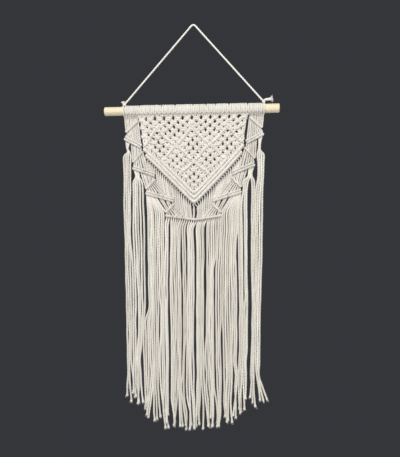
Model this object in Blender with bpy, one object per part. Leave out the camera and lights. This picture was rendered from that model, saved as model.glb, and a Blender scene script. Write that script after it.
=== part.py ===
"""Macrame wall hanging on a wooden dowel.

The origin is the point where the hanging cord lies on its nail. X runs along the dowel, the front faces -Y
and Z is up. The knotted cloth is a chevron of square knots and half-hitch bars with a stepped border at each
side, and every cord ends as a strand of the fringe. Tables are in millimetres and MM turns them into metres.
"""

import math
from collections import namedtuple

import bmesh
import bpy
import numpy as np
from mathutils import Vector

MM = 0.001

# Dowel and hanging cord
DOWEL_LENGTH = 321.0
DOWEL_DIAMETER = 16.0
DOWEL_DROP = 153.5
DOWEL_OFFSET = -4.4
DOWEL_SIDES = 24
DOWEL_CHAMFER = 0.7
CORD = 3.4
CORD_STEP = 11.0
NAIL_BEND = 5.0
CLEARANCE = 0.3

# Ties: a turn of the cord round the dowel, a knot on top of it and the cord's free end
TIE_X = 128.0
KNOT_RISE = 12.3
TIE_KNOT = (3.3, 4.0, 3.6)
TIE_TURNS = 14
TIE_SIDES = 6
LEFT_END = (
    # along the dowel, depth, height above the knot's middle, radius
    (0.0, 0.0, 0.0, 1.7),
    (-2.6, 0.6, 3.0, 1.7),
    (-3.6, 0.9, 5.6, 1.9),
)
RIGHT_END = (
    (0.0, 0.0, 0.0, 1.7),
    (4.6, 0.4, 2.6, 1.7),
    (8.2, -0.4, 2.2, 1.7),
    (12.6, -0.8, 1.6, 2.0),
    (17.0, -1.0, 3.4, 3.2),
)

# Heading of lark's heads, their cords pressed flat on the dowel
HEADING_CORD = 2.5
HEADING_VALLEY = 1.55
HEADING_SIDES = 10
HEAD_GROUPS = (
    # first x, last x, lark's heads
    (-124.4, -98.6, 4),
    (-98.6, 98.6, 24),
    (98.6, 124.4, 4),
)

# Chevron of square knots: lattice rows from the first knots down to the tip
LATTICE_ROWS = (
    # row, drop, half knot pitch
    (-3.0, 168.6, 8.55),
    (1.0, 199.0, 8.10),
    (4.0, 220.0, 7.5833),
    (8.0, 245.5, 7.62),
    (12.0, 272.0, 7.55),
    (16.0, 303.0, 7.55),
    (19.0, 321.0, 7.55),
)
HALF_WIDTH = 12
EDGE = (97.6, 91.0)
TOP_ROW = -3
CHEVRON_END = 8
DIAMOND = 4
BORDER_STEPS = (0.0, 0.21, 0.42, 0.63, 0.84, 1.05, 1.26, 1.50)
BORDER_HALVES = (3.9, 2.5, 3.9, 2.5, 3.9, 2.5, 3.9, 2.0)
KNOT_HALF = 4.3
BAR_HALF = 3.9
LINK_HALF = 2.5
RIM_HALF = 1.9
SUNK_HALF = 1.5
HOLE_WIDTH = 3.9
HOLE_HEIGHT = 4.9

# Stepped side borders: a short bar slants outwards, a long bar slants back in, and so on
ShortBar = namedtuple("ShortBar", "inner outer")
SHORT_BARS = (
    # inner and outer end as x and drop
    ShortBar((102.6, 170.6), (124.9, 190.6)),
    ShortBar((94.2, 226.0), (112.0, 246.0)),
    ShortBar((70.4, 279.3), (87.4, 296.3)),
    ShortBar((36.0, 326.0), (50.8, 341.0)),
)
LongBar = namedtuple("LongBar", "outer inner ridges cords let_go let_go_share")
LONG_BARS = (
    # outer and inner end as x and drop, ridges, cords, cords let go to the fringe, their share of the bar
    LongBar((127.0, 200.5), (96.6, 216.5), 2, 8, 4, 0.30),
    LongBar((111.6, 255.5), (70.8, 270.5), 2, 12, 5, 0.24),
    LongBar((87.2, 303.0), (35.6, 318.5), 2, 15, 7, 0.34),
    LongBar((51.0, 347.0), (0.25, 354.0), 1, 16, 16, 1.00),
)
CHEVRON_SHARES = (
    # part of the chevron's lower edge whose cords run down to each long bar
    (0.0, 0.0),
    (0.0, 0.235),
    (0.245, 0.61),
    (0.625, 1.0),
)
CHEVRON_EDGE = 128.0
EDGE_GAP = 0.55
RIDGE_WIDTH = 4.2
VALLEY_HALF = 2.4
HEM_HALF = 1.7
STRAND_WIDTH = 3.0
STRAND_HALF = 1.6
STRAND_SPREAD = 0.6
STRAND_FILL = 0.42
SIDE_TOP = (129.0, 101.4)
SIDE_CORDS = 8

# Fringe: each group is tied off under a bar, and its strands hang in bunches
FRINGE_TOP = {
    # group: first drop below which all strands hang straight
    "outer": 250.0,
    "middle": 300.0,
    "inner": 345.0,
    "centre": 372.0,
}
Bunch = namedtuple("Bunch", "group outer inner strands")
FRINGE_LEFT = (
    # group, x of the outermost and of the innermost strand, strands
    Bunch("outer", 127.6, 117.0, 4),
    Bunch("middle", 112.0, 92.5, 5),
    Bunch("inner", 85.0, 64.6, 7),
    Bunch("centre", 60.4, 52.6, 3),
    Bunch("centre", 47.8, 47.8, 1),
    Bunch("centre", 40.4, 22.2, 6),
    Bunch("centre", 18.0, 13.8, 2),
    Bunch("centre", 9.8, -0.8, 4),
)
FRINGE_RIGHT = (
    Bunch("outer", 126.6, 115.4, 4),
    Bunch("middle", 110.4, 94.6, 5),
    Bunch("inner", 87.6, 62.8, 7),
    Bunch("centre", 58.6, 55.0, 2),
    Bunch("centre", 51.6, 41.0, 4),
    Bunch("centre", 37.6, 23.8, 5),
    Bunch("centre", 20.0, 5.2, 5),
)
FRINGE_TRIM = (
    # distance from the middle, drop of the trimmed ends
    (0.0, 736.0),
    (55.0, 733.0),
    (64.0, 726.0),
    (84.0, 704.0),
    (90.0, 692.0),
    (128.0, 690.0),
)
TRIM_UNEVEN = 5.0
FRINGE_NARROWING = 0.965
STRAND_STEPS = 4
BUNCH_SWAY = 0.35
DEPTH_SWAY = 1.2
GATHER = 14.0
FLARE = 1.06
STRIP_HEIGHT = 3.0
STRIP_GAP = 0.45

# Keeps a point that lies midway between two rounded places from falling to either side
KEY_SHIFT = 0.00017

rng = np.random.default_rng(7)


def clear_scene():
    for obj in list(bpy.data.objects):
        bpy.data.objects.remove(obj, do_unlink=True)


def material(name, colour, roughness):
    made = bpy.data.materials.new(name)
    made.use_nodes = True
    shader = made.node_tree.nodes["Principled BSDF"]
    shader.inputs["Base Color"].default_value = (*colour, 1.0)
    shader.inputs["Roughness"].default_value = roughness
    shader.inputs["Metallic"].default_value = 0.0
    return made


def add_object(name, mesh, finish):
    obj = bpy.data.objects.new(name, mesh)
    mesh.materials.append(finish)
    bpy.context.scene.collection.objects.link(obj)
    return obj


class Sheet:
    """A flat drawing in X and drop whose points hold a half thickness, made into one closed relief."""

    def __init__(self):
        self.points = []
        self.index = {}
        self.faces = []

    def point(self, x, drop, half, depth=0.0):
        key = (round(x + KEY_SHIFT, 3), round(drop + KEY_SHIFT, 3))
        if key not in self.index:
            self.index[key] = len(self.points)
            self.points.append((x, drop, depth - half, depth + half))
        return self.index[key]

    def face(self, *corners):
        ring = [c for i, c in enumerate(corners) if c != corners[i - 1]]
        if len(ring) < 3:
            return
        flat = [(self.points[c][0], -self.points[c][1]) for c in ring]
        area = sum(a[0] * b[1] - b[0] * a[1] for a, b in zip(flat, flat[1:] + flat[:1]))
        self.faces.append(ring if area > 0 else ring[::-1])

    def grid(self, rows):
        """Faces between rows of points, each row as long as the next."""
        for above, below in zip(rows, rows[1:]):
            for i in range(len(above) - 1):
                self.face(above[i], above[i + 1], below[i + 1], below[i])

    def make(self, name, finish):
        count = len(self.points)
        front = [(x * MM, near * MM, -drop * MM) for x, drop, near, far in self.points]
        back = [(x * MM, far * MM, -drop * MM) for x, drop, near, far in self.points]
        faces = [list(ring) for ring in self.faces]
        faces += [[c + count for c in reversed(ring)] for ring in self.faces]
        edges = {(a, b) for ring in self.faces for a, b in zip(ring, ring[1:] + ring[:1])}
        walls = [(a, b) for a, b in edges if (b, a) not in edges]
        faces += [[b, a, a + count, b + count] for a, b in sorted(walls)]
        mesh = bpy.data.meshes.new(name)
        mesh.from_pydata(front + back, [], faces)
        mesh.validate()
        return add_object(name, mesh, finish)


def row_drop(row):
    table = np.array(LATTICE_ROWS)
    return float(np.interp(row, table[:, 0], table[:, 1]))


def half_pitch(row):
    table = np.array(LATTICE_ROWS)
    return float(np.interp(row, table[:, 0], table[:, 2]))


def panel_top():
    """Drop of the cloth's upper edge, just under the heading."""
    return DOWEL_DROP + DOWEL_DIAMETER / 2 + CLEARANCE + HEADING_CORD + CLEARANCE


def lattice_place(m, n):
    """Place of the lattice point that is m steps down to the right and n steps down to the left."""
    row, across = m + n, m - n
    x = across * half_pitch(row)
    last = HALF_WIDTH - 1
    if row < DIAMOND and abs(across) > last:
        edge = float(np.interp(row, (TOP_ROW, DIAMOND), EDGE))
        reach = last * half_pitch(row)
        x = math.copysign(reach + (abs(across) - last) * (edge - reach), across)
    return x, panel_top() if row < TOP_ROW else row_drop(row)


def on_bar(value):
    return value % DIAMOND == 0


def is_bar_point(m, n):
    """Half-hitch bars outline every diamond and start at the tops of the upper ones, where m + n is 0."""
    down_left = on_bar(m) and n >= -m and m > -CHEVRON_END
    down_right = on_bar(n) and m >= -n and n > -CHEVRON_END
    return m + n >= 0 and (down_left or down_right)


def lattice_half(m, n):
    """Half thickness of the cloth: knots lie on whole numbers, and the cords between them on halves."""
    if m + n < TOP_ROW:
        return LINK_HALF
    if is_bar_point(m, n):
        return BAR_HALF
    whole = float(m).is_integer() and float(n).is_integer()
    return KNOT_HALF if whole else LINK_HALF


def is_open(m, n):
    """Whether the gap in the cell below lattice point m, n is wide enough to be cut through."""
    above_diamonds = m + n < 0
    inside_diamond = not any(on_bar(v) or on_bar(v + 1) for v in (m, n))
    no_bar_below = not (is_bar_point(m + 1, n) or is_bar_point(m, n + 1))
    beside_diamonds = m < -DIAMOND or n < -DIAMOND or no_bar_below
    side_corner = on_bar(m + 1) and on_bar(n) or on_bar(n + 1) and on_bar(m)
    return above_diamonds or inside_diamond or beside_diamonds or side_corner


def lattice_point(sheet, m, n):
    x, drop = lattice_place(m, n)
    return sheet.point(x, drop, lattice_half(m, n))


def lattice_cell(sheet, m, n):
    """One cell between four knots, with its gap cut through or sunk."""
    around = [
        lattice_point(sheet, m + a, n + b)
        for a, b in ((0, 0), (0.5, 0), (1, 0), (1, 0.5), (1, 1), (0.5, 1), (0, 1), (0, 0.5))
    ]
    x, drop = lattice_place(m + 0.5, n + 0.5)
    if is_open(m, n):
        ring = [
            sheet.point(x, drop - HOLE_HEIGHT / 2, RIM_HALF),
            sheet.point(x + HOLE_WIDTH / 2, drop, RIM_HALF),
            sheet.point(x, drop + HOLE_HEIGHT / 2, RIM_HALF),
            sheet.point(x - HOLE_WIDTH / 2, drop, RIM_HALF),
        ]
        for side in range(4):
            corner, middle, following = around[2 * side], around[2 * side + 1], around[(2 * side + 2) % 8]
            here, there = ring[side], ring[(side + 1) % 4]
            sheet.face(corner, middle, here)
            sheet.face(middle, there, here)
            sheet.face(middle, following, there)
    else:
        centre = sheet.point(x, drop, SUNK_HALF)
        for i in range(8):
            sheet.face(around[i], around[(i + 1) % 8], centre)


def edge_cell(sheet, m, n, side):
    """The half of a cell that lies within the panel's straight outer edge."""
    turns = ((0, 0), (0.5, 0), (1, 0), (1, 0.5), (1, 1))
    if side > 0:
        turns = ((1, 1), (0.5, 1), (0, 1), (0, 0.5), (0, 0))
    around = [lattice_point(sheet, m + a, n + b) for a, b in turns]
    x, drop = lattice_place(m + 0.5, n + 0.5)
    centre = sheet.point(x, drop, SUNK_HALF)
    for a, b in zip(around, around[1:]):
        sheet.face(a, b, centre)


def close_top(sheet):
    """The small triangle between each first-row knot and the panel's upper edge."""
    for across in range(1 - HALF_WIDTH, HALF_WIDTH, 2):
        m = (TOP_ROW + across) // 2
        n = TOP_ROW - m
        corners = (m - 0.5, n), (m, n), (m, n - 0.5)
        sheet.face(*(lattice_point(sheet, *corner) for corner in corners))


def make_chevron(finish):
    sheet = Sheet()
    span = range(-HALF_WIDTH, CHEVRON_END)
    for m in span:
        for n in span:
            across = m - n
            if m + n + 1 < TOP_ROW:
                continue
            if abs(across) < HALF_WIDTH:
                lattice_cell(sheet, m, n)
            elif abs(across) == HALF_WIDTH:
                edge_cell(sheet, m, n, across)
    close_top(sheet)
    for side in (-1, 1):
        chevron_border(sheet, side)
    return sheet.make("chevron", finish)


def chevron_border(sheet, side):
    """The parallel half-hitch bars that run from an upper corner down to the tip."""
    rows = []
    for step, half in zip(BORDER_STEPS, BORDER_HALVES):
        row = []
        for m in np.arange(-DIAMOND, CHEVRON_END + 0.25, 0.5):
            x, drop = lattice_place(m + step, CHEVRON_END + step)
            row.append(sheet.point(-side * x, drop, half))
        rows.append(row)
    sheet.grid(rows)


def ring_place(x, reach, turn):
    """A point on a ring round the dowel's axis."""
    return x * MM, reach * math.sin(turn) * MM, (reach * math.cos(turn) - DOWEL_DROP) * MM


def tube_mesh(name, rings, closed):
    """Quads between rings of points, which either close on themselves or end in two flat faces."""
    shape = bmesh.new()
    loops = [[shape.verts.new(place) for place in ring] for ring in rings]
    pairs = list(zip(loops, loops[1:]))
    if closed:
        pairs.append((loops[-1], loops[0]))
    else:
        shape.faces.new(loops[0])
        shape.faces.new(loops[-1])
    for ring, following in pairs:
        for k in range(len(ring)):
            side = (k + 1) % len(ring)
            shape.faces.new((ring[k], ring[side], following[side], following[k]))
    bmesh.ops.recalc_face_normals(shape, faces=shape.faces)
    mesh = bpy.data.meshes.new(name)
    shape.to_mesh(mesh)
    shape.free()
    return mesh


def make_heading(finish):
    """Lark's heads side by side: a ridged sleeve round the dowel, one ridge for each."""
    inner = DOWEL_DIAMETER / 2 + CLEARANCE
    ridge, valley = inner + HEADING_CORD, inner + HEADING_VALLEY
    start, end = HEAD_GROUPS[0][0], HEAD_GROUPS[-1][1]
    sections = [(start, valley)]
    for first, last, count in HEAD_GROUPS:
        pitch = (last - first) / count
        for i in range(count):
            sections += [(first + (i + 0.5) * pitch, ridge), (first + (i + 1) * pitch, valley)]
    clear_inner = inner / math.cos(math.pi / HEADING_SIDES)
    sections += [(end, clear_inner), (start, clear_inner)]
    turns = [2 * math.pi * (k + 0.5) / HEADING_SIDES for k in range(HEADING_SIDES)]
    rings = [[ring_place(x, reach, turn) for turn in turns] for x, reach in sections]
    return add_object("heading", tube_mesh("heading", rings, closed=True), finish)


def make_dowel(finish):
    length, radius = DOWEL_LENGTH / 2, DOWEL_DIAMETER / 2
    profile = (
        (-length, radius - DOWEL_CHAMFER),
        (DOWEL_CHAMFER - length, radius),
        (length - DOWEL_CHAMFER, radius),
        (length, radius - DOWEL_CHAMFER),
    )
    turns = [2 * math.pi * k / DOWEL_SIDES for k in range(DOWEL_SIDES)]
    rings = [[ring_place(x + DOWEL_OFFSET, reach, turn) for turn in turns] for x, reach in profile]
    mesh = tube_mesh("dowel", rings, closed=False)
    mesh.shade_smooth()
    mesh.set_sharp_from_angle(angle=math.radians(30))
    return add_object("dowel", mesh, finish)


def cord_end():
    """Half the distance between the hanging cord's ends, and their drop, just short of the knots."""
    knot_drop = DOWEL_DROP - KNOT_RISE
    reach = math.hypot(TIE_X, knot_drop)
    knot_reach = 1 / math.hypot(TIE_X / reach / TIE_KNOT[0], knot_drop / reach / TIE_KNOT[2])
    share = 1 - (knot_reach + CLEARANCE) / reach
    return TIE_X * share, knot_drop * share


def make_hanging_cord(finish):
    """A taut cord from one tie over the nail to the other, turned round the nail in a small bend."""
    x, drop = cord_end()
    steepness = math.pi / 2 - math.atan2(drop, x)
    centre_drop = NAIL_BEND - CORD / 2
    turns = [math.pi / 2 + share * steepness for share in (0.9, 0.45, 0.0, -0.45, -0.9)]
    arc = [(NAIL_BEND * math.cos(a), centre_drop - NAIL_BEND * math.sin(a)) for a in turns]
    count = int(math.hypot(x, drop) / CORD_STEP)
    left = [between((-x, drop), arc[0], i / count) for i in range(count)]
    route = left + arc + [(-a, b) for a, b in reversed(left)]
    curve = bpy.data.curves.new("hanging_cord", "CURVE")
    curve.dimensions = "3D"
    curve.bevel_depth = CORD / 2 * MM
    curve.bevel_resolution = 2
    curve.use_fill_caps = True
    line = curve.splines.new("POLY")
    line.points.add(len(route) - 1)
    for spot, (at_x, at_drop) in zip(line.points, route):
        spot.co = (at_x * MM, 0.0, -at_drop * MM, 1.0)
    return add_object("hanging_cord", curve, finish)


def helper(name, mesh):
    obj = bpy.data.objects.new(name, mesh)
    bpy.context.scene.collection.objects.link(obj)
    obj.hide_render = True
    obj.display_type = "WIRE"
    return obj


def tie_ring(name, side):
    """The cord's turn round the dowel, pressed a little flat."""
    pressed = HEADING_CORD / 2
    middle = DOWEL_DIAMETER / 2 + CLEARANCE + pressed
    rings = []
    for i in range(TIE_TURNS):
        ring = []
        for k in range(TIE_SIDES):
            around = 2 * math.pi * k / TIE_SIDES
            x = side * TIE_X + CORD / 2 * math.sin(around)
            ring.append(ring_place(x, middle + pressed * math.cos(around), 2 * math.pi * i / TIE_TURNS))
        rings.append(ring)
    return tube_mesh(name, rings, closed=True)


def tie_knot(name, side):
    shape = bmesh.new()
    bmesh.ops.create_icosphere(shape, subdivisions=2, radius=1.0)
    middle = Vector((side * TIE_X, 0.0, KNOT_RISE - DOWEL_DROP))
    for vert in shape.verts:
        vert.co = (middle + vert.co * Vector(TIE_KNOT)) * MM
    mesh = bpy.data.meshes.new(name)
    shape.to_mesh(mesh)
    shape.free()
    return mesh


def tie_end(name, side, table):
    """The cord's free end, a tube of flat sides whose radius follows the table."""
    middle = Vector((side * TIE_X, 0.0, KNOT_RISE - DOWEL_DROP))
    path = [middle + Vector(row[:3]) for row in table]
    rings = []
    for i, (here, row) in enumerate(zip(path, table)):
        ahead = (path[min(i + 1, len(path) - 1)] - path[max(i - 1, 0)]).normalized()
        across = ahead.cross(Vector((0.0, 1.0, 0.0))).normalized()
        up = across.cross(ahead)
        ring = []
        for k in range(TIE_SIDES):
            around = 2 * math.pi * k / TIE_SIDES
            ring.append((here + row[3] * (math.cos(around) * across + math.sin(around) * up)) * MM)
        rings.append(ring)
    return tube_mesh(name, rings, closed=False)


def make_tie(name, side, end_table, finish):
    """The turn round the dowel, the knot and the free end, joined into one solid."""
    tie = add_object(name, tie_ring(name, side), finish)
    knot = helper(name + "_knot", tie_knot(name + "_knot", side))
    end = helper(name + "_end", tie_end(name + "_end", side, end_table))
    for other in (knot, end):
        join = tie.modifiers.new(other.name, "BOOLEAN")
        join.operation = "UNION"
        join.solver = "EXACT"
        join.object = other
    return tie


def between(a, b, share):
    return a[0] + (b[0] - a[0]) * share, a[1] + (b[1] - a[1]) * share


def strand_shares(cords, length, let_go=0, let_go_share=0.0):
    """Shares of a bar's length at both sides of each strand, with those let go to the fringe set closer."""
    shares = []
    for count, start, end in ((let_go, 0.0, let_go_share), (cords - let_go, let_go_share, 1.0)):
        for i in range(count):
            pitch = (end - start) / count
            edge = min(STRAND_SPREAD * STRAND_WIDTH / length, STRAND_FILL * pitch)
            shares += [start + (i + 0.5) * pitch + d for d in (-edge, edge)]
    return shares


def bar_rows(sheet, outer, inner, shares, ridges, side):
    """Points of a bar: rows along its length, from its upper edge to its lower edge."""
    along = Vector(inner) - Vector(outer)
    across = Vector((-along.y, along.x)).normalized()
    if across.y < 0:
        across = -across
    steps = 2 * ridges
    rows = []
    for k in range(steps + 1):
        offset = RIDGE_WIDTH * (k / 2 - ridges / 2)
        half = BAR_HALF if k % 2 else VALLEY_HALF
        if k in (0, steps):
            half = HEM_HALF
        row = []
        for share in shares:
            x, drop = between(outer, inner, share)
            row.append(sheet.point(side * (x + offset * across.x), drop + offset * across.y, half))
        rows.append(row)
    return rows


def strands(sheet, tops, bottoms):
    """Flat-sided strands between two rows that hold two points for each."""
    for i in range(0, len(tops), 2):
        sheet.face(tops[i], tops[i + 1], bottoms[i + 1], bottoms[i])


def heading_cords(sheet, side):
    """Tops of the cords that leave the outer lark's heads, just under the heading."""
    outer_x, inner_x = SIDE_TOP
    tops = []
    for share in strand_shares(SIDE_CORDS, outer_x - inner_x):
        tops.append(sheet.point(side * (outer_x + (inner_x - outer_x) * share), panel_top(), STRAND_HALF))
    return tops


def border_point(share):
    """A place just under the chevron's outer edge, from its upper corner to its tip."""
    m = -DIAMOND + (CHEVRON_END + DIAMOND) * share
    x, drop = lattice_place(m + BORDER_STEPS[-1], CHEVRON_END + BORDER_STEPS[-1])
    return abs(x), drop + EDGE_GAP


def make_side_border(name, side, finish):
    """The short and long bars with the cords between them, and the hems that the fringe ties on to."""
    sheet = Sheet()
    hems = []
    above = heading_cords(sheet, side)
    for short_bar, bar, (first, last) in zip(SHORT_BARS, LONG_BARS, CHEVRON_SHARES):
        shares = strand_shares(len(above) // 2, math.dist(*short_bar))
        rows = bar_rows(sheet, short_bar.outer, short_bar.inner, shares, 1, side)
        strands(sheet, above, rows[0])
        sheet.grid(rows)
        above = list(rows[-1])
        from_chevron = bar.cords - len(above) // 2
        for share in strand_shares(from_chevron, CHEVRON_EDGE * (last - first)):
            x, drop = border_point(first + (last - first) * share)
            above.append(sheet.point(side * x, drop, STRAND_HALF))
        shares = strand_shares(bar.cords, math.dist(bar.outer, bar.inner), bar.let_go, bar.let_go_share)
        rows = bar_rows(sheet, bar.outer, bar.inner, shares, bar.ridges, side)
        strands(sheet, above, rows[0])
        sheet.grid(rows)
        let_go = 2 * bar.let_go
        hems.append([sheet.points[p][:2] for p in rows[-1][:let_go]])
        above = rows[-1][let_go:]
    sheet.make(name, finish)
    return hems


def bunch_places(bunches, group):
    """The x of each strand of a group, spread evenly over its bunches, and how its bunch sways."""
    places = []
    for bunch in bunches:
        if bunch.group != group:
            continue
        sway = rng.uniform(-BUNCH_SWAY, BUNCH_SWAY, STRAND_STEPS)
        for i in range(bunch.strands):
            share = i / max(bunch.strands - 1, 1)
            places.append((bunch.outer + (bunch.inner - bunch.outer) * share, sway))
    return places


def trimmed_drop(place):
    table = np.array(FRINGE_TRIM)
    return float(np.interp(abs(place), table[:, 0], table[:, 1])) + rng.uniform(-TRIM_UNEVEN, TRIM_UNEVEN)


def hang_strand(sheet, left, right, straight_drop, side, place, sway):
    """One strand: from its two root points to where it hangs straight, then in steps to its trimmed end."""
    towards = math.copysign(STRAND_WIDTH / 2, sheet.points[right][0] - sheet.points[left][0])
    root_drop = max(sheet.points[left][1], sheet.points[right][1])
    start = max(straight_drop, root_drop + GATHER)
    end = trimmed_drop(place)
    depth = rng.uniform(-DEPTH_SWAY, DEPTH_SWAY)
    for k in range(STRAND_STEPS):
        down = k / (STRAND_STEPS - 1)
        drop = start + (end - start) * down
        x = side * place * (1 + (FRINGE_NARROWING - 1) * down) + sway[k] * down
        reach = towards * (FLARE if k == STRAND_STEPS - 1 else 1.0)
        low_left = sheet.point(x - reach, drop, STRAND_HALF, depth * down)
        low_right = sheet.point(x + reach, drop, STRAND_HALF, depth * down)
        sheet.face(left, right, low_right, low_left)
        left, right = low_left, low_right


def make_fringe(name, side, hem, places, straight_drop, finish):
    """Strands that hang from a narrow strip parted from a bar's lower edge."""
    sheet = Sheet()
    tops = [sheet.point(x, drop + STRIP_GAP, STRAND_HALF) for x, drop in hem]
    roots = [sheet.point(x, drop + STRIP_GAP + STRIP_HEIGHT, STRAND_HALF) for x, drop in hem]
    sheet.grid([tops, roots])
    for i, (place, sway) in enumerate(places):
        hang_strand(sheet, roots[2 * i], roots[2 * i + 1], straight_drop, side, place, sway)
    return sheet.make(name, finish)


def main():
    clear_scene()
    cotton = material("cotton", (0.80, 0.76, 0.68), 0.9)
    cord = material("cotton_cord", (0.83, 0.79, 0.71), 0.85)
    wood = material("pine", (0.80, 0.66, 0.44), 0.55)
    make_dowel(wood)
    make_hanging_cord(cord)
    make_tie("tie_left", -1, LEFT_END, cord)
    make_tie("tie_right", 1, RIGHT_END, cord)
    make_heading(cotton)
    make_chevron(cotton)
    for label, side, bunches in (("left", -1, FRINGE_LEFT), ("right", 1, FRINGE_RIGHT)):
        hems = make_side_border("border_" + label, side, cotton)
        for hem, (group, straight_drop) in zip(hems, FRINGE_TOP.items()):
            places = bunch_places(bunches, group)
            make_fringe(f"fringe_{group}_{label}", side, hem, places, straight_drop, cotton)


main()
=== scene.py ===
"""Looks of a macrame wall hanging on a wooden dowel.

Every cotton cord is modelled as a twisted cord of three plies that follows its real way through lark's heads,
square knots and double half hitches into the fringe. Tables are in millimetres: x runs along the dowel, front
points to the viewer and drop is the distance below the nail that the hanging cord lies on.
"""

import itertools
import math
from collections import namedtuple

import bpy
import numpy as np
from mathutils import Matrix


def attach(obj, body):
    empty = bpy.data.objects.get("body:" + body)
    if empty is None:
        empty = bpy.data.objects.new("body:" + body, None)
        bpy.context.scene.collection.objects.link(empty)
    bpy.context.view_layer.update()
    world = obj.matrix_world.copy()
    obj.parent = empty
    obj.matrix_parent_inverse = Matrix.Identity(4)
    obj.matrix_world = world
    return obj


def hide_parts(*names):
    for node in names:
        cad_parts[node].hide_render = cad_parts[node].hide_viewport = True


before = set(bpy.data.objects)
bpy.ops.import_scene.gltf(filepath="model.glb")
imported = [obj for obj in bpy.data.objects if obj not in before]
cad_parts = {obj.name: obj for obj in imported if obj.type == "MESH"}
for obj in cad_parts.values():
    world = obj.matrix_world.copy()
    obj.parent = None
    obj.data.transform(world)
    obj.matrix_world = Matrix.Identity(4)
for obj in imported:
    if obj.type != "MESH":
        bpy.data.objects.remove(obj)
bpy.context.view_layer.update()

MM = 0.001
rng = np.random.default_rng(11)

# Camera: the photograph's frame of 400 x 457 pixels seen with a focal length of 500 pixels
CAMERA_PLACE = (0.0920, -0.9104, -0.3706)
CAMERA_YAW = 5.0
SENSOR = 36.0
FRAME_PIXELS = 400
FOCAL_PIXELS = 500
LENS = SENSOR * FOCAL_PIXELS / FRAME_PIXELS

# Dowel, hanging cord and ties, as in the solids
DOWEL_DROP = 153.5
DOWEL_RADIUS = 8.0
DOWEL_BOTTOM = DOWEL_DROP + DOWEL_RADIUS
CORD = 3.4
CORD_STEP = 11.0
NAIL_BEND = 5.0
BEND_SHARES = (0.9, 0.45, 0.0, -0.45, -0.9)
CLEARANCE = 0.3
TIE_X = 128.0
KNOT_RISE = 12.3
TIE_KNOT = (3.3, 4.0, 3.6)
TIE_CORD = 1.5
RING_STEPS = 16
RING_RADIUS = 1.6
TREFOIL_STEPS = 24
TREFOIL_LOOP = 1.6
TREFOIL = (0.775, 1.0, 1.33)
TIE_TONE = 0.8
KNOT_TONE = 0.85
TAIL_TONE = 0.9
TAILS = {
    # side: rows of the free end from the knot on, as x, front, drop and radius; then the direction, length,
    # spread and number of the fibres at its end
    -1: ((
        (0.0, 1.0, 0.0, 1.5), (-1.4, 1.2, -1.4, 1.9), (-2.4, 0.8, -4.0, 2.3),
    ), ((-0.25, 0.1, -1.0), 3.0, 0.9, 130)),
    1: ((
        (-0.6, 1.4, -0.4, 1.6), (1.6, 2.2, -2.6, 1.9), (5.0, 2.2, -3.4, 2.2),
        (8.6, 2.0, -3.6, 2.5), (12.0, 1.8, -4.0, 3.0), (14.4, 1.8, -4.3, 3.4),
    ), ((1.0, 0.0, -0.15), 3.6, 1.1, 260)),
}

# Heading: lark's heads pressed flat on the dowel, which part a little at the notches
ON_DOWEL = 0.2
HEADING_PRESS = 0.42
PRESS_FULL = 16.0
PRESS_NONE = 22.0
PRESS_CORE = DOWEL_RADIUS + 0.25
NOTCH = 2.2
NOTCH_SPREAD = 7.0
NOTCHES = (-98.8, -57.6, -32.9, 0.0, 20.6, 41.2, 61.8, 98.8)
HEAD_SHIFT = 0.2
HEAD_FILL = 1.2
HEAD_RADII = (0.96, 1.04)
HEAD_REST = 0.86
HEAD_SLACK = (-0.4, 0.7)
HEAD_TONES = (0.4, 0.75)
LEG_END = ((2.2, 4.6), (4.2, 2.0))
HEAD_GROUPS = (
    # first x, last x, lark's heads
    (-125.4, -98.8, 4),
    (-98.8, 98.8, 24),
    (98.8, 125.4, 4),
)

# Chevron: lattice rows from the first knots down to the tip. The panel leans a little, which fades near its
# edges, and its lower border has three ridges.
LATTICE_ROWS = np.array((
    # row, drop under the corners between diamonds, how much lower it is in a diamond's middle, how much lower
    # for each step outwards, half knot pitch
    (-3, 168.3, 0, 0, 8.55), (-2, 176.2, 0, 0, 8.45), (0, 191.5, -5.6, 0, 8.20),
    (1, 199.7, -6.3, 0.1, 8.10), (2, 206, -4, 0.25, 8.00), (4, 217.4, 0, 0.3, 7.75),
    (6, 230.2, 3.6, 0.3, 7.70), (7, 237.4, 4.9, 0.2, 7.70), (8, 244.9, 2.5, 0.1, 7.65),
    (9, 252.6, 2, 0, 7.65), (10, 257.4, 6.6, 0, 7.65), (11, 265.7, 5.2, 0, 7.65),
    (12, 271.4, 8, 0, 7.65), (13, 277.9, 7.6, 0, 7.65), (14, 280.4, 12, 0, 7.60),
    (15, 284, 14.5, 0, 7.55), (16, 290, 15, 0, 7.55),
))
ROW_DROP, ROW_BULGE, ROW_OUTWARDS, ROW_PITCH = 1, 2, 3, 4
HALF_WIDTH = 12
EDGES = {-1: (95.4, 87.9), 1: (97.6, 91.0)}
TOP_ROW = -3
CHEVRON_END = 8
DIAMOND = 4
LEAN = np.array((
    # drop, sideways shift of the panel, rise for each millimetre to the right
    (160, -2.7, 0.016), (185, -2.2, 0.018), (200, -2, 0.020), (218, -0.3, 0.030),
    (243, 0.8, 0.022), (257, 1.5, 0.018), (300, 1.8, 0.012), (330, 1.4, 0),
))
LEAN_REACH = 98.5
LEAN_FADE = 14.0
CHEVRON_TONES = (0.3, 0.75)
BORDER_RIDGES = (
    # first cord that crosses it, steps below the first ridge
    (8, 0),
    (0, 1),
    (1, 2),
)
BORDER_CORDS = 24
BORDER_TOP = -4
BORDER_REACH = 91.8
BORDER_TIP = 307.0
BORDER_SLOPE = 1.029
BORDER_ROUND = 2.6
BORDER_STEP = 8.45
BORDER_FOOT = 4.8
BORDER_FOOT_TURN = 25.0
FOOT_FRONT = -1.6
FOOT_RADIUS = 1.15

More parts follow.
